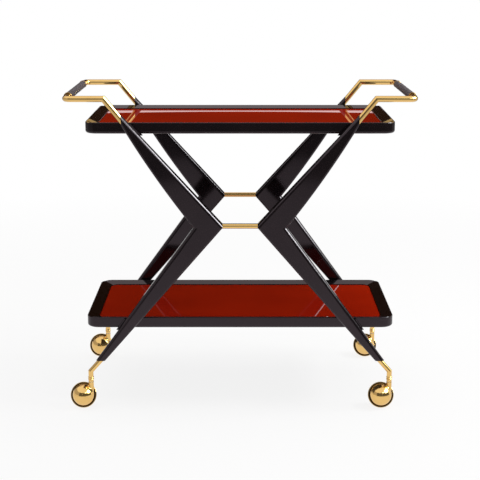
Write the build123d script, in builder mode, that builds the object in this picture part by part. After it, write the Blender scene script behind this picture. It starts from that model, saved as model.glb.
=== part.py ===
from build123d import *
import os
from math import atan2, cos, dist, hypot, radians, sin, sqrt, tan

# Two-tier bar cart: two trestles of boomerang legs carry two glass-topped trays between them,
# a tube handle at each end of the cart and four ball casters.
# Millimetres, +Z up, X along the cart, the front at -Y, the origin on the floor at the centre.

# Trays
upper_tray_length = 796.0
lower_tray_length = 810.0
tray_depth = 401.0
upper_tray_top = 755.5
lower_tray_top = 241.0
rim_height = 29.0
rim_width = 30.0
rim_corner_radius = 32.0
rim_top_land = 3.0
rim_slope_drop = 6.0
rim_top_rounding = 2.2
rim_bottom_rounding = 6.0
well_drop = 8.0
well_corner_radius = 20.0
ledge_width = 10.0
ledge_corner_radius = 12.0
glass_thickness = 5.0
glass_edge_chamfer = 0.8
board_thickness = 6.0

# Legs
leg_plane_offset = 22.0
leg_waist_thickness = 34.0
leg_end_thickness = 19.5
leg_profile_overrun = 5.0
waist_height = 488.0
vertex_x = 45.0
vertex_flat = 7.8
elbow_x = 119.5
tip_x = 301.0
tip_height = 764.0
tip_margin = 0.3
upper_arm_bow = 5.2
foot_x = 367.0
foot_width = 24.0
shoulder_radius = 9.0
edge_rounding = 5.0
edge_flat = 0.5

# Handles
handle_tube_diameter = 15.6
handle_tube_wall = 1.5
handle_span = 900.0
handle_height = 818.0
handle_bend_x = 345.0
handle_corner_radius = 15.0
grip_diameter = 19.6
bare_tube_beside_grip = 42.5
grip_end_rounding = 1.2
grip_ring_diameter = 21.0
grip_ring_width = 8.0
grip_ring_rounding = 0.8
stud_diameter = 8.0
stud_depth = 40.0
stud_plug_length = 22.0
stud_plug_inset = 1.0

# Waist rods
waist_rod_diameter = 13.4
waist_rod_rise = 3.0
waist_rod_depth = 28.0

# Spacers and screws between trays and legs
spacer_shoulder = 4.0
spacer_overhang = 3.0
spacer_top_inset = 3.0
screw_diameter = 5.0
screw_head_diameter = 8.0
screw_head_height = 3.0
screw_head_rounding = 1.2
screw_pitch = 13.0
screw_drop = 24.0
screw_tip_inset = 5.0
screw_hole_overrun = 1.0

# Casters
wheel_diameter = 68.4
wheel_wall = 3.0
wheel_edge_rounding = 0.8
wheel_hub_diameter = 15.0
axle_tilt = radians(20.0)
trail = 21.0
hood_diameter = 58.0
hood_wall = 2.0
hood_skirt = 6.0
hood_boss_diameter = 12.0
horn_diameter = 13.8
horn_rise = 36.1
horn_blend = 2.5
horn_to_wheel_gap = 2.0
axle_diameter = 6.0
axle_depth = 17.0
pintle_diameter = 8.0
pintle_seat = 10.0
pintle_reach = 10.5
thrust_washer_diameter = 10.8
thrust_washer_height = 1.2
stem_x = 394.0
stem_diameter = 13.2
stem_straight = 14.6
stem_rise = 30.5
stem_depth = 42.0
collar_length = 13.4
collar_diameter = 13.6
collar_ring_diameter = 15.4
collar_ring_height = 4.2
collar_ring_gap = 0.8

# Clearances
panel_clearance = 0.5
fixed_fit = 0.05
running_fit = 0.06
axial_gap = 0.3

# Heights and places that follow from the sizes above
leg_y = tray_depth / 2 + leg_plane_offset
wheel_radius = wheel_diameter / 2
horn_top = wheel_radius + horn_rise
collar_bottom = horn_top + thrust_washer_height + axial_gap
collar_top = collar_bottom + collar_length
bend_height = collar_top + stem_straight
foot_height = bend_height + stem_rise
handle_slope = atan2(handle_height - tip_height, handle_bend_x - tip_x)
tip_half_height = handle_tube_diameter / 2 / cos(handle_slope) + tip_margin
grip_x = (handle_span - handle_tube_diameter) / 2
grip_half_length = leg_y - handle_corner_radius - bare_tube_beside_grip - grip_ring_width
waist_rod_height = waist_height + waist_rod_rise

# Corners of the leg's outline, as (x, z) in the front right leg
vertex_low = (vertex_x, waist_height)
vertex_high = (vertex_x, waist_height + vertex_flat)
elbow = (elbow_x, waist_height)
tip_top = (tip_x, tip_height + tip_half_height)
tip_bottom = (tip_x, tip_height - tip_half_height)
foot_inner = (foot_x - foot_width / 2, foot_height)
foot_outer = (foot_x + foot_width / 2, foot_height)

# The axle leans: its front end is up in the hood and its back end down in the wheel
ball_centre = (-trail, 0, wheel_radius)
axle_direction = (0, cos(axle_tilt), -sin(axle_tilt))

# Distances along the axle from the middle of the ball, positive towards the wheel
wheel_hollow_radius = wheel_radius - wheel_wall
horn_exit_rise = sqrt(wheel_hollow_radius ** 2 - trail ** 2 - (horn_diameter / 2) ** 2)
horn_exit = horn_diameter / 2 * cos(axle_tilt) - horn_exit_rise * sin(axle_tilt)
wheel_front = horn_exit + horn_to_wheel_gap
hub_end = -axial_gap / 2
boss_end = hub_end - axial_gap
inner_axle_end = wheel_hollow_radius - axial_gap

corners = {
    "front_left": (-1, -1),
    "front_right": (1, -1),
    "back_left": (-1, 1),
    "back_right": (1, 1),
}

# Where a cylinder lies from its place: along the place's direction, or against it
ahead = (Align.CENTER, Align.CENTER, Align.MIN)
behind = (Align.CENTER, Align.CENTER, Align.MAX)


def save(part, name):
    part.label = name
    export_step(part, f"parts/{name}.step")


def middle(start, end):
    return ((start[0] + end[0]) / 2, (start[1] + end[1]) / 2)


def x_at(start, end, height):
    """Where the straight edge from start to end passes a height."""
    return start[0] + (end[0] - start[0]) * (height - start[1]) / (end[1] - start[1])


def slope(start, end):
    """The angle of the straight edge from start to end to the horizontal."""
    return atan2(abs(end[1] - start[1]), abs(end[0] - start[0]))


def in_corner(part, side, face):
    """The front right piece, or its mirror image for another corner of the cart."""
    if side < 0:
        part = mirror(part, about=Plane.YZ)
    if face > 0:
        part = mirror(part, about=Plane.XZ)
    return part


def upper_arm_outline():
    rise = tip_bottom[1] - elbow[1]
    run = tip_bottom[0] - elbow[0]
    chord_middle = middle(elbow, tip_bottom)
    bow_x = upper_arm_bow * rise / hypot(run, rise)
    bow_z = upper_arm_bow * run / hypot(run, rise)
    with BuildSketch() as outline:
        with BuildLine():
            Polyline(elbow, vertex_low, vertex_high, tip_top, tip_bottom)
            ThreePointArc(tip_bottom, (chord_middle[0] + bow_x, chord_middle[1] - bow_z), elbow)
        make_face()
    return outline.sketch


def lower_arm_outline():
    with BuildSketch() as outline:
        with BuildLine():
            Polyline(elbow, vertex_low, foot_inner, foot_outer, close=True)
        make_face()
    return outline.sketch


def leg_side_profile():
    """The leg seen from the cart's end: thickest at the waist, slimmer at tip and foot."""
    low = foot_height - leg_profile_overrun
    high = tip_top[1] + leg_profile_overrun
    with BuildSketch(Plane.YZ) as profile:
        with BuildLine():
            faces = []
            for turn in (-1, 1):
                end_y = -leg_y + turn * leg_end_thickness / 2
                waist_y = -leg_y + turn * leg_waist_thickness / 2
                faces.append(ThreePointArc((end_y, low), (waist_y, waist_height), (end_y, high)))
            Line(faces[0] @ 0, faces[1] @ 0)
            Line(faces[0] @ 1, faces[1] @ 1)
        make_face()
    return profile.sketch


def leg_arm(outline, upward_side, downward_side, rounding):
    """One arm of a leg: broad rounded shoulders on the edges of its upward side, fine rounding
    on those of its downward side. The sides are given by a point (x, z) near their middle."""
    with BuildPart() as arm:
        with BuildSketch(Plane.XZ.offset(leg_y)):
            add(outline)
        extrude(amount=leg_waist_thickness, both=True)
        extrude(leg_side_profile(), amount=foot_outer[0], mode=Mode.INTERSECT)
        for side, radius in ((upward_side, shoulder_radius), (downward_side, rounding)):
            side_face = arm.faces().sort_by_distance((side[0], -leg_y, side[1]))[0]
            fillet(side_face.edges().sort_by(SortBy.LENGTH)[-2:], radius=radius)
    return arm.part


def handle_axis():
    """The line of the handle tube's first run, with its origin where it meets the leg's tip."""
    return Plane(
        origin=(tip_x, -leg_y, tip_height),
        x_dir=(0, 1, 0),
        z_dir=(cos(handle_slope), 0, sin(handle_slope)),
    )


def stem_axis():
    """The line of a caster stem's oblique run, with its origin in the middle of the leg's foot."""
    return Plane(
        origin=(foot_x, -leg_y, foot_height),
        x_dir=(0, 1, 0),
        z_dir=(foot_x - stem_x, 0, stem_rise),
    )


def screw_places(tray_top, arm_x):
    """Where the screws of the front right leg cross the tray's front face."""
    for offset in (-screw_pitch / 2, screw_pitch / 2):
        yield Plane(
            origin=(arm_x + offset, -tray_depth / 2, tray_top - screw_drop),
            z_dir=(0, -1, 0),
        )


def arm_middle(arm_edges, height):
    (inner_start, inner_end), (outer_start, outer_end) = arm_edges
    return (x_at(inner_start, inner_end, height) + x_at(outer_start, outer_end, height)) / 2


upper_arm_edges = ((vertex_high, tip_top), (elbow, tip_bottom))
lower_arm_edges = ((vertex_low, foot_inner), (elbow, foot_outer))

# The fine rounding, or what the shoulder leaves for it on the cut at an arm's slim end
tip_side_slope = slope(elbow, tip_bottom) + 2 * atan2(2 * upper_arm_bow, dist(elbow, tip_bottom))
tip_room = 2 * tip_half_height - shoulder_radius / cos(slope(vertex_high, tip_top))
upper_arm_rounding = min(edge_rounding, tip_room * cos(tip_side_slope) - edge_flat)
foot_room = foot_width - shoulder_radius / sin(slope(elbow, foot_outer))
lower_arm_rounding = min(edge_rounding, foot_room * sin(slope(vertex_low, foot_inner)) - edge_flat)

upper_screws = list(
    screw_places(upper_tray_top, arm_middle(upper_arm_edges, upper_tray_top - screw_drop))
)
lower_screws = list(
    screw_places(lower_tray_top, arm_middle(lower_arm_edges, lower_tray_top - screw_drop))
)


def front_right_leg():
    upper_arm = leg_arm(
        upper_arm_outline(), middle(vertex_high, tip_top), middle(elbow, tip_bottom),
        upper_arm_rounding,
    )
    lower_arm = leg_arm(
        lower_arm_outline(), middle(elbow, foot_outer), middle(vertex_low, foot_inner),
        lower_arm_rounding,
    )
    rod_seat = Plane(origin=(vertex_x, -leg_y, waist_rod_height), z_dir=(1, 0, 0))
    stud_seat = handle_axis().offset(-stud_depth)
    stem_seat = stem_axis().offset(-stem_depth)
    bores = (
        ([rod_seat], waist_rod_diameter, waist_rod_depth),
        ([stud_seat], stud_diameter, 2 * stud_depth),
        ([stem_seat], stem_diameter, 2 * stem_depth),
        (upper_screws + lower_screws, screw_diameter, leg_plane_offset - screw_tip_inset),
    )
    with BuildPart() as leg:
        add(upper_arm)
        add(lower_arm)
        for places, diameter, depth in bores:
            with Locations(*places):
                Cylinder(diameter / 2 + fixed_fit, depth, align=ahead, mode=Mode.SUBTRACT)
    return leg.part


def spacers(outline, shoulder, tray_top, screws):
    """The four blocks that hold the legs off a tray. They follow the legs, stand out beyond their
    upward side and hang a little below the rim."""
    low = tray_top - rim_height - spacer_overhang
    high = tray_top - spacer_top_inset
    with BuildPart() as blocks:
        with BuildSketch(Plane.XZ.offset(tray_depth / 2)):
            add(outline)
            with Locations((shoulder, 0)):
                add(outline)
            with Locations((0, (low + high) / 2)):
                Rectangle(2 * foot_outer[0], high - low, mode=Mode.INTERSECT)
        extrude(amount=leg_plane_offset)
        extrude(leg_side_profile(), amount=foot_outer[0], mode=Mode.SUBTRACT)
        with Locations(*screws):
            Cylinder(screw_diameter / 2 + fixed_fit, 2 * leg_plane_offset, mode=Mode.SUBTRACT)
        mirror(about=Plane.YZ)
        mirror(about=Plane.XZ)
    return blocks.part


def tray_screws(screws):
    """Round-headed screws from under the tray, through its rail and the spacer into the leg."""
    rail_width = rim_width + ledge_width
    with BuildPart() as screw_set:
        for place in screws:
            with Locations(place.offset(-rail_width)):
                Cylinder(
                    screw_diameter / 2, rail_width + leg_plane_offset - screw_tip_inset,
                    align=ahead,
                )
                Cylinder(screw_head_diameter / 2, screw_head_height, align=behind)
        head_rims = screw_set.edges().filter_by(GeomType.CIRCLE).sort_by(Axis.Y)
        fillet(head_rims[-len(screws):], radius=screw_head_rounding)
        mirror(about=Plane.YZ)
        mirror(about=Plane.XZ)
    return screw_set.part


def tray_frame(length, top, screws):
    """A tray's whole rim: the top slopes down inwards to the glass, the ledge carries the board."""
    slope_inset = rim_top_land + (rim_width - rim_top_land) * well_drop / rim_slope_drop
    seat_drop = well_drop + glass_thickness + board_thickness
    with BuildPart() as frame:
        with BuildSketch(Plane.XY.offset(top - rim_height)):
            RectangleRounded(length, tray_depth, rim_corner_radius)
        extrude(amount=rim_height)
        fillet(frame.edges().group_by(Axis.Z)[-1], radius=rim_top_rounding)
        fillet(frame.edges().group_by(Axis.Z)[0], radius=rim_bottom_rounding)
        for inset, drop in ((rim_top_land, 0), (slope_inset, well_drop)):
            with BuildSketch(Plane.XY.offset(top - drop)):
                Rectangle(length - 2 * inset, tray_depth - 2 * inset)
        loft(mode=Mode.SUBTRACT)
        with BuildSketch(Plane.XY.offset(top)):
            RectangleRounded(
                length - 2 * rim_width, tray_depth - 2 * rim_width, well_corner_radius
            )
        extrude(amount=-seat_drop, mode=Mode.SUBTRACT)
        inset = rim_width + ledge_width
        with BuildSketch(Plane.XY.offset(top)):
            RectangleRounded(length - 2 * inset, tray_depth - 2 * inset, ledge_corner_radius)
        extrude(amount=-rim_height, mode=Mode.SUBTRACT)
        for side, face in corners.values():
            for place in screws:
                hole = Plane(
                    origin=(side * place.origin.X, -face * place.origin.Y, place.origin.Z),
                    z_dir=(0, 1, 0),
                )
                with Locations(hole):
                    Cylinder(
                        screw_diameter / 2 + fixed_fit, 2 * (inset + screw_hole_overrun),
                        mode=Mode.SUBTRACT,
                    )
    return frame.part


def rail(frame, top, outline):
    """One rail of a tray's rim, cut out by the mitres at its ends."""
    with BuildPart() as piece:
        with BuildSketch(Plane.XY.offset(top - rim_height)):
            with BuildLine():
                Polyline(*outline, close=True)
            make_face()
        extrude(amount=rim_height)
        add(frame, mode=Mode.INTERSECT)
    return piece.part


def panel(length, top, thickness):
    with BuildPart() as sheet:
        with BuildSketch(Plane.XY.offset(top)):
            RectangleRounded(
                length - 2 * (rim_width + panel_clearance),
                tray_depth - 2 * (rim_width + panel_clearance),
                well_corner_radius - panel_clearance,
            )
        extrude(amount=-thickness)
    return sheet


def make_tray(tier, length, top, screws):
    frame = tray_frame(length, top, screws)
    half_length = length / 2
    half_depth = tray_depth / 2
    ridge = half_length - half_depth
    for face, y in (("front", -half_depth), ("back", half_depth)):
        outline = [(-half_length, y), (half_length, y), (ridge, 0), (-ridge, 0)]
        save(rail(frame, top, outline), f"{tier}_{face}_rail")
    for side, x in (("left", -1), ("right", 1)):
        outline = [(x * half_length, -half_depth), (x * half_length, half_depth), (x * ridge, 0)]
        save(rail(frame, top, outline), f"{tier}_{side}_rail")
    glass_top = top - well_drop
    glass = panel(length, glass_top, glass_thickness)
    with glass:
        chamfer(glass.edges().group_by(Axis.Z)[-1], length=glass_edge_chamfer)
    save(glass.part, f"{tier}_glass")
    board = panel(length, glass_top - glass_thickness, board_thickness)
    save(board.part, f"{tier}_board")


def waist_rod(face):
    with BuildPart() as rod:
        with BuildSketch(Plane.YZ):
            with Locations((face * leg_y, waist_rod_height)):
                Circle(waist_rod_diameter / 2)
        extrude(amount=vertex_x + waist_rod_depth, both=True)
    return rod.part


def right_handle_tube():
    """One tube from leg tip to leg tip: up at a slant, a sharp mitred bend, out to the end of the
    cart, round a corner and back along the grip. Its ends are cut upright against the leg tips."""
    start = handle_axis().from_local_coords((0, 0, -handle_tube_diameter))
    with BuildPart() as tube:
        with BuildLine() as half_route:
            Line(start, (handle_bend_x, -leg_y, handle_height))
            run = Line(
                (handle_bend_x, -leg_y, handle_height),
                (grip_x - handle_corner_radius, -leg_y, handle_height),
            )
            turn = TangentArc(
                run @ 1, (grip_x, handle_corner_radius - leg_y, handle_height), tangent=run % 1
            )
            Line(turn @ 1, (grip_x, 0, handle_height))
        section = handle_axis().offset(-handle_tube_diameter)
        with BuildSketch(section):
            Circle(handle_tube_diameter / 2)
            Circle(handle_tube_diameter / 2 - handle_tube_wall, mode=Mode.SUBTRACT)
        sweep(path=half_route.wire(), transition=Transition.RIGHT)
        split(bisect_by=Plane.YZ.offset(tip_x), keep=Keep.TOP)
        mirror(about=Plane.XZ)
    return tube.part


def handle_studs():
    """Plugs in the four ends of the handle tubes, each with a stud that goes into a leg tip."""
    plug_start = handle_tube_diameter / 2 * tan(handle_slope) + stud_plug_inset
    plug_radius = handle_tube_diameter / 2 - handle_tube_wall - fixed_fit
    axis = handle_axis()
    with BuildPart() as studs:
        with Locations(axis.offset(-stud_depth)):
            Cylinder(stud_diameter / 2, stud_depth + plug_start, align=ahead)
        with Locations(axis.offset(plug_start)):
            Cylinder(plug_radius, stud_plug_length, align=ahead)
        mirror(about=Plane.YZ)
        mirror(about=Plane.XZ)
    return studs.part


def sleeve(side, y, diameter, length, rounding):
    """A sleeve on the handle tube, with its middle at y."""
    centre = Plane(origin=(side * grip_x, y, handle_height), z_dir=(0, 1, 0))
    with BuildPart() as piece:
        with BuildSketch(centre):
            Circle(diameter / 2)
        extrude(amount=length / 2, both=True)
        fillet(piece.edges().filter_by(GeomType.CIRCLE), radius=rounding)
        with BuildSketch(centre):
            Circle(handle_tube_diameter / 2 + fixed_fit)
        extrude(amount=length, both=True, mode=Mode.SUBTRACT)
    return piece.part


def front_right_stem():
    """A caster stem: a rod that comes slanting out of the leg's foot and turns straight down."""
    axis = stem_axis()
    start = axis.offset(stem_depth)
    with BuildPart() as stem:
        with BuildLine() as route:
            Polyline(
                start.origin, (stem_x, -leg_y, bend_height), (stem_x, -leg_y, collar_top)
            )
        with BuildSketch(start):
            Circle(stem_diameter / 2)
        sweep(path=route.wire(), transition=Transition.RIGHT)
    return stem.part


def caster_collar():
    """The turned collar under a stem, with two rings and a blind bore for the pintle.
    Caster pieces are drawn round the swivel axis."""
    neck = collar_diameter / 2
    ring = collar_ring_diameter / 2
    with BuildPart() as collar:
        with BuildSketch(Plane.XZ):
            with BuildLine():
                Polyline((neck, collar_bottom), (0, collar_bottom), (0, collar_top), (neck, collar_top))
                height = collar_top
                for _ in range(2):
                    low = height - collar_ring_height
                    ThreePointArc((neck, height), (ring, (height + low) / 2), (neck, low))
                    height = low - collar_ring_gap
                    Line((neck, low), (neck, height))
                Line((neck, height), (neck, collar_bottom))
            make_face()
        revolve(axis=Axis.Z)
        with BuildSketch(Plane.XY.offset(collar_bottom)):
            Circle(pintle_diameter / 2 + running_fit)
        extrude(amount=pintle_reach + axial_gap, mode=Mode.SUBTRACT)
    return collar.part


def turned_pin(diameter, low, high):
    """An upright pin or washer on the swivel axis."""
    with BuildPart() as pin:
        with BuildSketch(Plane.XY.offset(low)):
            Circle(diameter / 2)
        extrude(amount=high - low)
    return pin.part


def axle_round(diameter, front, back):
    """A round bar on the axle's line, between two distances from the middle of the ball."""
    across = Plane(origin=ball_centre, x_dir=(1, 0, 0), z_dir=axle_direction)
    with BuildPart() as bar:
        with BuildSketch(across.offset(front)):
            Circle(diameter / 2)
        extrude(amount=back - front)
    return bar.part


def ball_slice(radius, rim, towards_wheel, rounding=0):
    """A solid slice of the ball, cut off square to the axle at its rim."""
    along = Plane(origin=ball_centre, x_dir=(1, 0, 0), z_dir=(0, sin(axle_tilt), cos(axle_tilt)))
    with BuildPart() as piece:
        with BuildSketch(along) as half_section:
            Circle(radius)
            with Locations((0, rim)):
                Rectangle(
                    2 * radius, 2 * radius,
                    align=(Align.MIN, Align.MIN if towards_wheel else Align.MAX),
                    mode=Mode.INTERSECT,
                )
            if rounding:
                corner = half_section.vertices().sort_by_distance((radius, rim))[0]
                fillet(corner, radius=rounding)
        revolve(axis=Axis(ball_centre, axle_direction))
    return piece.part


def caster_hood():
    """The hood: a domed shell over the front of the wheel, with the horn that rises from it and
    a boss inside for the axle."""
    radius = hood_diameter / 2
    inner_radius = radius - hood_wall
    with BuildPart() as hood:
        add(ball_slice(radius, hood_skirt, False))
        with BuildSketch(Plane.XY.offset(wheel_radius)):
            Circle(horn_diameter / 2)
        extrude(amount=horn_rise)
        seam = hood.edges(Select.LAST).filter_by(GeomType.CIRCLE, reverse=True)
        fillet(seam.filter_by_position(Axis.Z, wheel_radius + horn_blend, horn_top), radius=horn_blend)
        add(ball_slice(inner_radius, hood_skirt + horn_diameter / 2, False), mode=Mode.SUBTRACT)
        add(axle_round(hood_boss_diameter, -inner_radius - hood_wall / 2, boss_end))
        add(axle_round(axle_diameter, boss_end - axle_depth, boss_end), mode=Mode.SUBTRACT)
        add(turned_pin(pintle_diameter, horn_top - pintle_seat, horn_top), mode=Mode.SUBTRACT)
    return hood.part


def caster_wheel():
    """The wheel: a round cup over the back half of the ball, with a hub that reaches into the
    hood and a blind bore for the axle."""
    bore_diameter = axle_diameter + 2 * running_fit
    with BuildPart() as wheel:
        add(ball_slice(wheel_radius, wheel_front, True, wheel_edge_rounding))
        add(ball_slice(wheel_hollow_radius, wheel_front, True), mode=Mode.SUBTRACT)
        add(axle_round(wheel_hub_diameter, hub_end, wheel_hollow_radius + wheel_wall / 2))
        add(axle_round(bore_diameter, hub_end, wheel_hollow_radius), mode=Mode.SUBTRACT)
    return wheel.part


def make_casters():
    hood = caster_hood()
    wheel = caster_wheel()
    collar = caster_collar()
    axle = axle_round(axle_diameter, boss_end - axle_depth, inner_axle_end)
    pintle = turned_pin(pintle_diameter, horn_top - pintle_seat, collar_bottom + pintle_reach)
    hole = turned_pin(pintle_diameter + 2 * fixed_fit, horn_top, horn_top + thrust_washer_height)
    washer = turned_pin(thrust_washer_diameter, horn_top, horn_top + thrust_washer_height) - hole
    pieces = {
        "hood": hood,
        "wheel": wheel,
        "collar": collar,
        "axle": axle,
        "pintle": pintle,
        "thrust_washer": washer,
    }
    for corner, (side, face) in corners.items():
        place = Location((side * stem_x, face * leg_y, 0))
        for name, piece in pieces.items():
            save(place * piece, f"{corner}_{name}")


def make_frame():
    leg = front_right_leg()
    stem = front_right_stem()
    for corner, (side, face) in corners.items():
        save(in_corner(leg, side, face), f"{corner}_leg")
        save(in_corner(stem, side, face), f"{corner}_stem")
    save(waist_rod(-1), "front_waist_rod")
    save(waist_rod(1), "back_waist_rod")
    save(
        spacers(upper_arm_outline(), -spacer_shoulder, upper_tray_top, upper_screws),
        "upper_spacers",
    )
    save(
        spacers(lower_arm_outline(), spacer_shoulder, lower_tray_top, lower_screws),
        "lower_spacers",
    )
    save(tray_screws(upper_screws), "upper_screws")
    save(tray_screws(lower_screws), "lower_screws")


def make_handles():
    tube = right_handle_tube()
    ring_y = grip_half_length + grip_ring_width / 2
    save(handle_studs(), "handle_studs")
    for name, side in (("left", -1), ("right", 1)):
        save(in_corner(tube, side, -1), f"{name}_handle_tube")
        grip = sleeve(side, 0, grip_diameter, 2 * grip_half_length, grip_end_rounding)
        save(grip, f"{name}_grip")
        for face, y in (("front", -ring_y), ("back", ring_y)):
            ring = sleeve(side, y, grip_ring_diameter, grip_ring_width, grip_ring_rounding)
            save(ring, f"{face}_{name}_grip_ring")


os.makedirs("parts", exist_ok=True)
make_frame()
make_tray("upper", upper_tray_length, upper_tray_top, upper_screws)
make_tray("lower", lower_tray_length, lower_tray_top, lower_screws)
make_handles()
make_casters()
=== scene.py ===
import math

import bmesh
import bpy
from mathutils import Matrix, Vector
from mathutils.noise import noise as wander


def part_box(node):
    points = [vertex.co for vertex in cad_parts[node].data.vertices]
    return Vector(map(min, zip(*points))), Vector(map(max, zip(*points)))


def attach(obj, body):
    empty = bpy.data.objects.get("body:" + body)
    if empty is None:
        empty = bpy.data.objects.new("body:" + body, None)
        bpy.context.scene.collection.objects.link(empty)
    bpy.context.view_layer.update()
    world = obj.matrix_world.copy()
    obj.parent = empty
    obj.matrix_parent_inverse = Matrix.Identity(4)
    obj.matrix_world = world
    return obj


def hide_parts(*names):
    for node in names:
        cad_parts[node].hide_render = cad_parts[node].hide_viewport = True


# Two-tier bar cart: black lacquer legs and tray rims, red glass, brass tubes and ball casters,
# leather grips. Metres, +Z up, X along the cart, the front at -Y, the origin on the floor.

# Camera
CAMERA_PLACE = (-0.0003, -3.43198, 1.16567)
CAMERA_PITCH_DOWN = math.radians(12.5)
CAMERA_LENS = 95.54
CAMERA_SENSOR = 36.0

# Floor. It shows plain white from the fade radius on. Within the clear radius it shows the lift's
# share of that, and for the rest the shaded floor with the cart's shadow.
FLOOR_RADIUS = 14.0
FLOOR_SIDES = 96
FLOOR_CLEAR_RADIUS = 1.0
FLOOR_FADE_RADIUS = 3.0
FLOOR_LIFT = 0.855
FLOOR_COLOR = (0.88, 0.875, 0.87)
FLOOR_ROUGHNESS = 0.6

# The floor's painted light as reflections see it, brightest near the middle and dimmer farther out:
# distance from the middle, level
FLOOR_PAINTED_LIGHT = (
    (0.2, 0.97), (0.6, 0.94), (1.0, 0.84), (1.3, 0.74),
    (2.0, 0.62), (3.2, 0.58), (4.6, 0.50), (6.4, 0.2),
)

# World: its light on the cart, and its level where it is seen
WORLD_FILL = 0.38
WORLD_SHOWN = 1.0

# Cards round the studio: radius, turns from and to in degrees from +X, heights from and to,
# colour, and how far the light fades in from the edges, as a share of the card's two sides
CARD_STEPS = 32
CARDS = {
    "back_low": (4.6, (40, 140), (0.0, 1.2), (0.006, 0.006, 0.006), None),
    "back_strip": (4.6, (40, 140), (1.2, 1.279), (1.0, 0.86, 0.85), None),
    "back": (4.6, (40, 140), (1.279, 3.0), (0.03, 0.012, 0.004), None),
    "back_high": (4.6, (40, 140), (3.0, 6.5), (0.68, 0.60, 0.60), None),
    "left": (4.6, (140, 225), (0.3, 3.0), (0.5, 0.48, 0.48), None),
    "front": (4.6, (225, 360), (0.05, 3.0), (0.13, 0.13, 0.13), None),
    "side": (4.4, (-82, -28), (2.4, 4.0), (3.8, 4.4, 4.4), (0.3, 0.3)),
    "key": (4.3, (-45, 22), (1.55, 5.2), (25.0, 29.5, 28.2), (0.35, 0.33)),
}

# Lamps: place, size, watts
LAMPS = {
    "top": ((0.0, 0.2, 3.2), (4.2, 3.0), 55.0),
    "key": ((2.2, -0.2, 2.1), (1.2, 0.6), 38.0),
}
LAMP_TARGET = (0.0, 0.0, 0.45)

# Colours, as linear red, green and blue
LACQUER = (0.0050, 0.0032, 0.0038)
LACQUER_WORN = (0.0080, 0.0053, 0.0058)
LACQUER_TINT = (1.0, 0.8, 0.9)
BRASS = (0.85, 0.55, 0.20)
BRASS_TARNISH = (0.70, 0.42, 0.13)
RING_BRASS = (0.60, 0.36, 0.13)
RING_TARNISH = (0.45, 0.25, 0.09)
RED_GLASS = (0.42, 0.013, 0.0015)
RED_GLASS_DEEP = (0.34, 0.009, 0.001)
LEATHER = (0.102, 0.088, 0.095)
LEATHER_CREASE = (0.088, 0.076, 0.082)
THREAD = (0.020, 0.017, 0.018)
STEEL = (0.55, 0.55, 0.56)
BACKING = (0.016, 0.014, 0.013)

# Roughness where a surface is cleanest and where it is most worn or smeared
POLISHED_LACQUER_ROUGHNESS = (0.01, 0.03)
RUBBED_LACQUER_ROUGHNESS = (0.06, 0.09)
BRASS_ROUGHNESS = (0.06, 0.12)
GLASS_ROUGHNESS = (0.0, 0.012)
LEATHER_ROUGHNESS = (0.4, 0.52)
STEEL_ROUGHNESS = (0.22, 0.36)
THREAD_ROUGHNESS = 0.4
BACKING_ROUGHNESS = 0.5

# Leather sleeves of the grips: facets round one, rows along it, wall, and rounding of its ends
GRIP_SIDES = 56
GRIP_ROW = 0.00125
GRIP_WALL = 0.0019
GRIP_END = 0.0011
GRIP_END_STEPS = 4

# Waves in the leather: their height, and how the grip lies in the noise: the radius of its circle,
# the reach of each metre along it, and how far each grip is from the middle
GRIP_WAVE = 0.00012
WAVES_ROUND = 1.4
WAVES_ALONG = 55.0
WAVES_APART = 7.0

# The seam along a grip: its turn round the tube on the left side, its width and depth, and the
# extra facets across it
SEAM_TURN = math.radians(-62)
SEAM_WIDTH = 0.0011
SEAM_DEPTH = 0.0006
SEAM_FACETS = (
    -0.0036, -0.0028, -0.0019, -0.0012, -0.0006, 0.0, 0.0006, 0.0012, 0.0019, 0.0028, 0.0036
)

# Stitches across the seam. A thread's height over the leather is in thread radii: it rises by the
# first in the middle and dives by the second towards its ends. It bridges a share of the seam.
STITCH_PITCH = 0.005
STITCH_REACH = 0.0024
STITCH_LEAN = 0.0011
STITCH_PULL = 0.45
STITCH_STEPS = 8
THREAD_RADIUS = 0.0003
THREAD_SIDES = 8
THREAD_RISE = 1.1
THREAD_DIVE = 2.4
THREAD_BRIDGE = 0.6


def node_setup(name):
    """A new material, its nodes and links, its shader, and the place on the object."""
    material = bpy.data.materials.new(name)
    material.use_nodes = True
    nodes = material.node_tree.nodes
    place = nodes.new("ShaderNodeTexCoord").outputs["Object"]
    return material, nodes, material.node_tree.links, nodes["Principled BSDF"], place


def stretched(nodes, links, place, scale):
    """The place on the object, stretched by a scale along each axis."""
    mapping = nodes.new("ShaderNodeMapping")
    mapping.inputs["Scale"].default_value = scale
    links.new(place, mapping.inputs["Vector"])
    return mapping.outputs["Vector"]


def noise(nodes, links, place, scale, detail=3.0, roughness=0.5):
    texture = nodes.new("ShaderNodeTexNoise")
    texture.inputs["Scale"].default_value = scale
    texture.inputs["Detail"].default_value = detail
    texture.inputs["Roughness"].default_value = roughness
    links.new(place, texture.inputs["Vector"])
    return texture.outputs["Fac"]


def spread(nodes, links, value, span, target):
    """Maps a value from its span to a target span, clamped."""
    ranged = nodes.new("ShaderNodeMapRange")
    links.new(value, ranged.inputs["Value"])
    ranged.inputs["From Min"].default_value, ranged.inputs["From Max"].default_value = span
    ranged.inputs["To Min"].default_value, ranged.inputs["To Max"].default_value = target
    return ranged.outputs["Result"]


def blended(nodes, links, factor, first, second):
    """A colour between two, by a factor."""
    mix = nodes.new("ShaderNodeMix")
    mix.data_type = "RGBA"
    links.new(factor, mix.inputs["Factor"])
    mix.inputs["A"].default_value = (*first, 1.0)
    mix.inputs["B"].default_value = (*second, 1.0)
    return mix.outputs["Result"]


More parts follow.
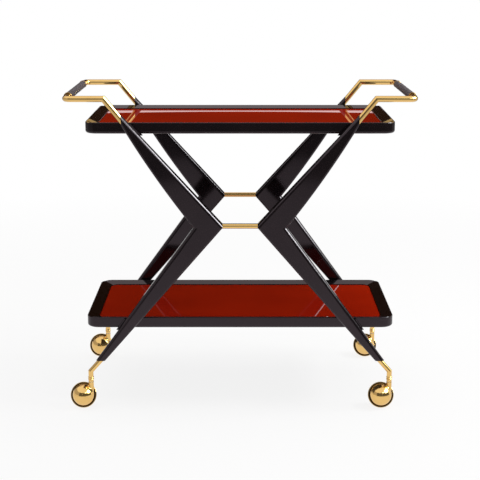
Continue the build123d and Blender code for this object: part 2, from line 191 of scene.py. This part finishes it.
def bumped(nodes, links, height, distance, strength):
    """The surface's normal, tilted by a height pattern."""
    bump = nodes.new("ShaderNodeBump")
    bump.inputs["Distance"].default_value = distance
    bump.inputs["Strength"].default_value = strength
    links.new(height, bump.inputs["Height"])
    return bump.outputs["Normal"]


def calculated(nodes, links, operation, first, second, clamp=False):
    """The result of a math node. Each of its two values is a socket or a plain float."""
    node = nodes.new("ShaderNodeMath")
    node.operation = operation
    node.use_clamp = clamp
    for socket, value in zip(node.inputs, (first, second)):
        if isinstance(value, float):
            socket.default_value = value
        else:
            links.new(value, socket)
    return node.outputs["Value"]


def lacquer_material(name, roughness):
    """Black lacquer over wood: clouded colour, smears and orange peel."""
    material, nodes, links, shader, place = node_setup(name)
    clouds = noise(nodes, links, place, scale=14.0)
    worn = spread(nodes, links, clouds, (0.35, 0.7), (0, 1))
    links.new(blended(nodes, links, worn, LACQUER, LACQUER_WORN), shader.inputs["Base Color"])
    smears = noise(nodes, links, place, scale=16.0)
    links.new(spread(nodes, links, smears, (0.3, 0.7), roughness), shader.inputs["Roughness"])
    shader.inputs["Specular Tint"].default_value = (*LACQUER_TINT, 1.0)
    flow = noise(nodes, links, place, scale=22.0, detail=0.0)
    links.new(bumped(nodes, links, flow, distance=0.00002, strength=0.1), shader.inputs["Normal"])
    return material


def brass_material(name, clean, tarnished):
    """Polished brass: faint tarnish, polishing marks and finger smears."""
    material, nodes, links, shader, place = node_setup(name)
    spots = noise(nodes, links, place, scale=28.0)
    tarnish = spread(nodes, links, spots, (0.5, 0.8), (0, 0.4))
    links.new(blended(nodes, links, tarnish, clean, tarnished), shader.inputs["Base Color"])
    shader.inputs["Metallic"].default_value = 1.0
    smears = noise(nodes, links, place, scale=60.0)
    rough = spread(nodes, links, smears, (0.35, 0.7), BRASS_ROUGHNESS)
    links.new(rough, shader.inputs["Roughness"])
    marks = noise(nodes, links, place, scale=180.0, detail=1.0)
    links.new(bumped(nodes, links, marks, distance=0.000003, strength=0.1), shader.inputs["Normal"])
    return material


def glass_material():
    """Glass over a deep red backing, with faint dust and smears."""
    material, nodes, links, shader, place = node_setup("red_glass")
    clouds = noise(nodes, links, place, scale=3.0, detail=2.0)
    depth = spread(nodes, links, clouds, (0.35, 0.65), (0, 1))
    links.new(blended(nodes, links, depth, RED_GLASS, RED_GLASS_DEEP), shader.inputs["Base Color"])
    smears = noise(nodes, links, place, scale=24.0, detail=6.0, roughness=0.6)
    rough = spread(nodes, links, smears, (0.5, 0.85), GLASS_ROUGHNESS)
    links.new(rough, shader.inputs["Roughness"])
    shader.inputs["IOR"].default_value = 1.45
    return material


def leather_material():
    """Dark leather: small cells of grain, darker in the creases and smoother where it is held."""
    material, nodes, links, shader, place = node_setup("grip_leather")
    cells = nodes.new("ShaderNodeTexVoronoi")
    cells.feature = "DISTANCE_TO_EDGE"
    cells.inputs["Scale"].default_value = 1300.0
    links.new(place, cells.inputs["Vector"])
    crease = spread(nodes, links, cells.outputs["Distance"], (0.0, 0.12), (0, 1))
    links.new(blended(nodes, links, crease, LEATHER_CREASE, LEATHER), shader.inputs["Base Color"])
    wear = noise(nodes, links, place, scale=40.0)
    rough = spread(nodes, links, wear, (0.3, 0.7), LEATHER_ROUGHNESS)
    links.new(rough, shader.inputs["Roughness"])
    shader.inputs["Specular IOR Level"].default_value = 0.2
    links.new(bumped(nodes, links, crease, distance=0.00003, strength=0.2), shader.inputs["Normal"])
    return material


def thread_material():
    """Waxed thread, with its twist."""
    material, nodes, links, shader, place = node_setup("waxed_thread")
    twist = noise(nodes, links, place, scale=2600.0, detail=1.0)
    links.new(blended(nodes, links, twist, THREAD, LEATHER_CREASE), shader.inputs["Base Color"])
    shader.inputs["Roughness"].default_value = THREAD_ROUGHNESS
    links.new(bumped(nodes, links, twist, distance=0.00005, strength=0.5), shader.inputs["Normal"])
    return material


def steel_material():
    """Bright steel with fine turning lines."""
    material, nodes, links, shader, place = node_setup("bright_steel")
    across = stretched(nodes, links, place, (1, 1, 20))
    lines = noise(nodes, links, across, scale=600.0, detail=2.0)
    shader.inputs["Base Color"].default_value = (*STEEL, 1.0)
    shader.inputs["Metallic"].default_value = 1.0
    rough = spread(nodes, links, lines, (0.3, 0.7), STEEL_ROUGHNESS)
    links.new(rough, shader.inputs["Roughness"])
    links.new(bumped(nodes, links, lines, distance=0.00002, strength=0.3), shader.inputs["Normal"])
    return material


def backing_material():
    """The board under the glass, stained black with an open grain."""
    material, nodes, links, shader, place = node_setup("stained_board")
    along = stretched(nodes, links, place, (3, 90, 90))
    grain = noise(nodes, links, along, scale=10.0, detail=6.0)
    links.new(blended(nodes, links, grain, BACKING, LACQUER_WORN), shader.inputs["Base Color"])
    shader.inputs["Roughness"].default_value = BACKING_ROUGHNESS
    links.new(bumped(nodes, links, grain, distance=0.0002, strength=0.5), shader.inputs["Normal"])
    return material


def dress(nodes, materials):
    """Gives every carried-over node its finish. What isn't named here is brass."""
    endings = {
        "_leg": "rubbed_lacquer",
        "_rail": "lacquer",
        "_spacers": "lacquer",
        "_board": "backing",
        "_glass": "glass",
        "_grip": "leather",
        "_grip_ring": "ring_brass",
        "_axle": "steel",
        "_pintle": "steel",
        "_thrust_washer": "steel",
        "_screws": "steel",
        "_studs": "steel",
    }
    for name, piece in nodes.items():
        kind = next((kind for end, kind in endings.items() if name.endswith(end)), "brass")
        piece.data.materials.clear()
        piece.data.materials.append(materials[kind])


def full_turn(steps):
    """Evenly spaced turns round a circle."""
    return [2 * math.pi * n / steps for n in range(steps)]


def added(name, data):
    """A new object in the scene that shows a mesh, or works as a lamp or a camera."""
    piece = bpy.data.objects.new(name, data)
    bpy.context.scene.collection.objects.link(piece)
    return piece


def plain_mesh(name, corners, faces):
    mesh = bpy.data.meshes.new(name)
    mesh.from_pydata(corners, [], faces)
    return added(name, mesh)


def finished_piece(name, built, body, material):
    """A smooth mesh object from a bmesh, riding on a body."""
    bmesh.ops.recalc_face_normals(built, faces=built.faces)
    mesh = bpy.data.meshes.new(name)
    built.to_mesh(mesh)
    built.free()
    for face in mesh.polygons:
        face.use_smooth = True
    mesh.materials.append(material)
    piece = added(name, mesh)
    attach(piece, body)
    return piece


def joined_rings(built, rings):
    """Faces between each ring of corners and the next."""
    for ring, after in zip(rings, rings[1:]):
        for k in range(len(ring)):
            built.faces.new((ring[k - 1], ring[k], after[k], after[k - 1]))


def seam_dip(across, along):
    """How deep the leather is pulled in beside its seam, most where a stitch goes through."""
    valley = math.exp(-(across / SEAM_WIDTH) ** 2)
    beside = math.exp(-((abs(across) - STITCH_REACH) / SEAM_WIDTH) ** 2)
    pull = 0.5 + 0.5 * math.cos(2 * math.pi * along / STITCH_PITCH)
    return SEAM_DEPTH * (valley + STITCH_PULL * beside * pull)


def sleeve_stations(half_length):
    """Places along the sleeve, and how far its rounded ends draw in at each."""
    start = []
    for k in range(GRIP_END_STEPS, -1, -1):
        bend = math.pi / 2 * k / GRIP_END_STEPS
        inset = GRIP_END * (1 - math.cos(bend))
        start.append((-half_length + GRIP_END * (1 - math.sin(bend)), inset))
    straight = 2 * (half_length - GRIP_END)
    rows = round(straight / GRIP_ROW)
    middle = [(-half_length + GRIP_END + straight * k / rows, 0.0) for k in range(1, rows)]
    return start + middle + [(-along, inset) for along, inset in reversed(start)]


def make_grip(side_name, side, materials):
    """A leather sleeve sewn round the handle tube between two brass rings. Its seam lies inwards
    and down, where the fingers close on it."""
    low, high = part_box(f"{side_name}_grip")
    centre = (low + high) / 2
    radius = (high.x - low.x) / 2 - GRIP_WAVE
    half_length = (high.y - low.y) / 2
    seam = math.pi - SEAM_TURN if side > 0 else SEAM_TURN

    def skin(turn, along):
        """The leather's outer radius at a turn round the tube and a distance along it."""
        across = math.remainder(turn - seam, 2 * math.pi) * radius
        spot = Vector((
            math.cos(turn) * WAVES_ROUND,
            along * WAVES_ALONG,
            math.sin(turn) * WAVES_ROUND + side * WAVES_APART,
        ))
        return radius + GRIP_WAVE * wander(spot) - seam_dip(across, along)

    def corner(reach, turn, along):
        return (
            centre.x + reach * math.cos(turn), centre.y + along, centre.z + reach * math.sin(turn)
        )

    turns = full_turn(GRIP_SIDES) + [seam + offset / radius for offset in SEAM_FACETS]
    turns = sorted(math.remainder(turn, 2 * math.pi) for turn in turns)
    built = bmesh.new()
    rings = [
        [built.verts.new(corner(skin(turn, along) - inset, turn, along)) for turn in turns]
        for along, inset in sleeve_stations(half_length)
    ]
    low_end, high_end = (
        [built.verts.new(corner(radius - GRIP_WALL, turn, along)) for turn in turns]
        for along in (-half_length, half_length)
    )
    joined_rings(built, [low_end, *rings, high_end, low_end])
    sleeve = finished_piece(
        f"{side_name}_grip_leather", built, "cart_frame", materials["leather"]
    )
    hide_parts(f"{side_name}_grip")

    built = bmesh.new()
    count = int((2 * half_length - 4 * GRIP_END) / STITCH_PITCH)
    for n in range(count):
        along = (n - (count - 1) / 2) * STITCH_PITCH
        path = []
        for k in range(STITCH_STEPS + 1):
            beside = 2 * k / STITCH_STEPS - 1
            turn = seam + beside * STITCH_REACH / radius
            lift = THREAD_RADIUS * (THREAD_RISE - THREAD_DIVE * beside ** 4)
            bridge = (1 - beside * beside) * SEAM_DEPTH * THREAD_BRIDGE
            reach = skin(turn, along) + lift + bridge
            path.append(Vector(corner(reach, turn, along + beside * STITCH_LEAN)))
        add_thread(built, path)
    finished_piece(
        f"{side_name}_grip_stitches", built, "cart_frame", materials["thread"]
    )


def add_thread(built, path):
    """A short round thread along a path, closed at both ends."""
    rings = []
    for k, point in enumerate(path):
        along = (path[min(k + 1, len(path) - 1)] - path[max(k - 1, 0)]).normalized()
        first = along.cross(Vector((0.0, 0.0, 1.0))).normalized()
        second = along.cross(first)
        rings.append([
            built.verts.new(
                point + THREAD_RADIUS * (math.cos(turn) * first + math.sin(turn) * second)
            )
            for turn in full_turn(THREAD_SIDES)
        ])
    joined_rings(built, rings)
    built.faces.new(rings[0])
    built.faces.new(reversed(rings[-1]))


def shown_rays(nodes, links):
    """1 for what the camera sees, directly or in metal and glass, and 0 for other light."""
    rays = nodes.new("ShaderNodeLightPath").outputs
    seen = calculated(nodes, links, "MAXIMUM", rays["Is Camera Ray"], rays["Is Glossy Ray"])
    return calculated(nodes, links, "MAXIMUM", seen, rays["Is Transmission Ray"])


def floor_material():
    """Shaded white that fades to plain white, with painted light of its own for reflections,
    brightest near the middle and dimmer farther out.
    """
    material, nodes, links, shader, place = node_setup("floor")
    shader.inputs["Base Color"].default_value = (*FLOOR_COLOR, 1.0)
    shader.inputs["Roughness"].default_value = FLOOR_ROUGHNESS
    shader.inputs["Specular IOR Level"].default_value = 0.0
    length = nodes.new("ShaderNodeVectorMath")
    length.operation = "LENGTH"
    links.new(place, length.inputs[0])
    distance = length.outputs["Value"]
    fading = (FLOOR_CLEAR_RADIUS, FLOOR_FADE_RADIUS)
    fade = spread(nodes, links, distance, fading, (FLOOR_LIFT, 1))
    faded = calculated(nodes, links, "MULTIPLY", fade, shown_rays(nodes, links))

    # Painted light: reflections see the floor glow at these levels, brighter near the middle and
    # dimmer farther out
    painted_light = nodes.new("ShaderNodeValToRGB")
    links.new(spread(nodes, links, distance, (0, FLOOR_RADIUS), (0, 1)), painted_light.inputs["Fac"])
    stops = painted_light.color_ramp.elements
    for k, (reach, level) in enumerate(FLOOR_PAINTED_LIGHT):
        stop = stops[k] if k < 2 else stops.new(reach / FLOOR_RADIUS)
        stop.position = reach / FLOOR_RADIUS
        stop.color = (level, level, level, 1.0)
    rays = nodes.new("ShaderNodeLightPath").outputs
    strength = nodes.new("ShaderNodeMix")
    strength.inputs["A"].default_value = 1.0
    links.new(rays["Is Glossy Ray"], strength.inputs["Factor"])
    links.new(painted_light.outputs["Color"], strength.inputs["B"])

    white = nodes.new("ShaderNodeEmission")
    links.new(strength.outputs["Result"], white.inputs["Strength"])
    mix = nodes.new("ShaderNodeMixShader")
    links.new(faded, mix.inputs["Fac"])
    links.new(shader.outputs["BSDF"], mix.inputs[1])
    links.new(white.outputs["Emission"], mix.inputs[2])
    links.new(mix.outputs["Shader"], nodes["Material Output"].inputs["Surface"])
    return material


def make_floor():
    """A round white floor that keeps the cart's shadow."""
    rim = [
        (FLOOR_RADIUS * math.cos(turn), FLOOR_RADIUS * math.sin(turn), 0.0)
        for turn in full_turn(FLOOR_SIDES)
    ]
    floor = plain_mesh("floor", rim, [range(FLOOR_SIDES)])
    floor.data.materials.append(floor_material())


def soft_edge(nodes, links, place, softness):
    """Rises from 0 at either edge of a card to 1 inside it."""
    rise = calculated(nodes, links, "PINGPONG", place, 0.5)
    ramp = nodes.new("ShaderNodeMapRange")
    ramp.interpolation_type = "SMOOTHSTEP"
    links.new(rise, ramp.inputs["Value"])
    ramp.inputs["From Max"].default_value = softness
    return ramp.outputs["Result"]


def card_material(name, color, softness):
    """Plain light. A card with soft edges is a bright one, which goes dark after a diffuse
    bounce, so that brass throws no sparks on its neighbours."""
    material = bpy.data.materials.new(name)
    material.use_nodes = True
    nodes, links = material.node_tree.nodes, material.node_tree.links
    nodes.remove(nodes["Principled BSDF"])
    glow = nodes.new("ShaderNodeEmission")
    glow.inputs["Color"].default_value = (*color, 1.0)
    if softness:
        apart = nodes.new("ShaderNodeSeparateXYZ")
        links.new(nodes.new("ShaderNodeTexCoord").outputs["UV"], apart.inputs["Vector"])
        inside = calculated(
            nodes, links, "MULTIPLY",
            soft_edge(nodes, links, apart.outputs["X"], softness[0]),
            soft_edge(nodes, links, apart.outputs["Y"], softness[1]),
        )
        bounces = nodes.new("ShaderNodeLightPath").outputs["Diffuse Depth"]
        direct = calculated(nodes, links, "SUBTRACT", 1.0, bounces, clamp=True)
        links.new(calculated(nodes, links, "MULTIPLY", inside, direct), glow.inputs["Strength"])
    links.new(glow.outputs["Emission"], nodes["Material Output"].inputs["Surface"])
    return material


def make_card(name, radius, turns, heights, color, softness):
    """A curved card at one side of the studio, from one turn to another. Only reflections see
    it: dim cards keep the glass and the lacquer deep, and bright ones light up their edges."""
    corners = []
    for n in range(CARD_STEPS + 1):
        turn = math.radians(turns[0] + (turns[1] - turns[0]) * n / CARD_STEPS)
        corners += [(radius * math.cos(turn), radius * math.sin(turn), z) for z in heights]
    faces = [(k, k + 2, k + 3, k + 1) for k in range(0, 2 * CARD_STEPS, 2)]
    card = plain_mesh(f"{name}_card", corners, faces)
    places = card.data.uv_layers.new()
    for corner in card.data.loops:
        k = corner.vertex_index
        places.data[corner.index].uv = (k // 2 / CARD_STEPS, k % 2)
    card.data.materials.append(card_material(f"{name}_card", color, softness))
    card.visible_camera = False
    card.visible_diffuse = False
    card.visible_shadow = False


def make_world():
    """An even fill; the camera, metal and glass see it as a white background."""
    world = bpy.data.worlds.new("studio")
    bpy.context.scene.world = world
    world.use_nodes = True
    nodes, links = world.node_tree.nodes, world.node_tree.links
    background = nodes["Background"]
    background.inputs["Color"].default_value = (1.0, 1.0, 1.0, 1.0)
    strength = spread(nodes, links, shown_rays(nodes, links), (0, 1), (WORLD_FILL, WORLD_SHOWN))
    links.new(strength, background.inputs["Strength"])


def make_lamp(name, place, size, power):
    """A soft lamp. Reflections show the cards in its place."""
    data = bpy.data.lights.new(name, "AREA")
    data.shape = "RECTANGLE"
    data.size, data.size_y = size
    data.energy = power
    lamp = added(name, data)
    lamp.location = place
    aim = Vector(LAMP_TARGET) - Vector(place)
    lamp.rotation_euler = aim.to_track_quat("-Z", "Y").to_euler()
    lamp.visible_glossy = False


def make_camera():
    data = bpy.data.cameras.new("camera")
    data.sensor_width = CAMERA_SENSOR
    data.lens = CAMERA_LENS
    camera = added("camera", data)
    camera.location = CAMERA_PLACE
    camera.rotation_euler = (math.pi / 2 - CAMERA_PITCH_DOWN, 0.0, 0.0)
    bpy.context.scene.camera = camera


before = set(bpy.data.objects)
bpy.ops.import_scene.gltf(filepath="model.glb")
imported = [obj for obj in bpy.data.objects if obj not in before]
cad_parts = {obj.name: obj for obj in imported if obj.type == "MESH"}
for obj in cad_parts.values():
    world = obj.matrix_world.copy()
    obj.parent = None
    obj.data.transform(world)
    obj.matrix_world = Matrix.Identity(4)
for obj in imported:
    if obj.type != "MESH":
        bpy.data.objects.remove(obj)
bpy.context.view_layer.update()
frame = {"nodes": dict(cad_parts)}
bpy.context.scene.view_settings.view_transform = "Standard"
materials = {
    "lacquer": lacquer_material("black_lacquer", POLISHED_LACQUER_ROUGHNESS),
    "rubbed_lacquer": lacquer_material("rubbed_lacquer", RUBBED_LACQUER_ROUGHNESS),
    "brass": brass_material("polished_brass", BRASS, BRASS_TARNISH),
    "ring_brass": brass_material("ring_brass", RING_BRASS, RING_TARNISH),
    "glass": glass_material(),
    "leather": leather_material(),
    "thread": thread_material(),
    "steel": steel_material(),
    "backing": backing_material(),
}
dress(frame["nodes"], materials)
make_grip("left", -1, materials)
make_grip("right", 1, materials)
make_floor()
for name, card in CARDS.items():
    make_card(name, *card)
make_world()
for name, lamp in LAMPS.items():
    make_lamp(name, *lamp)
make_camera()
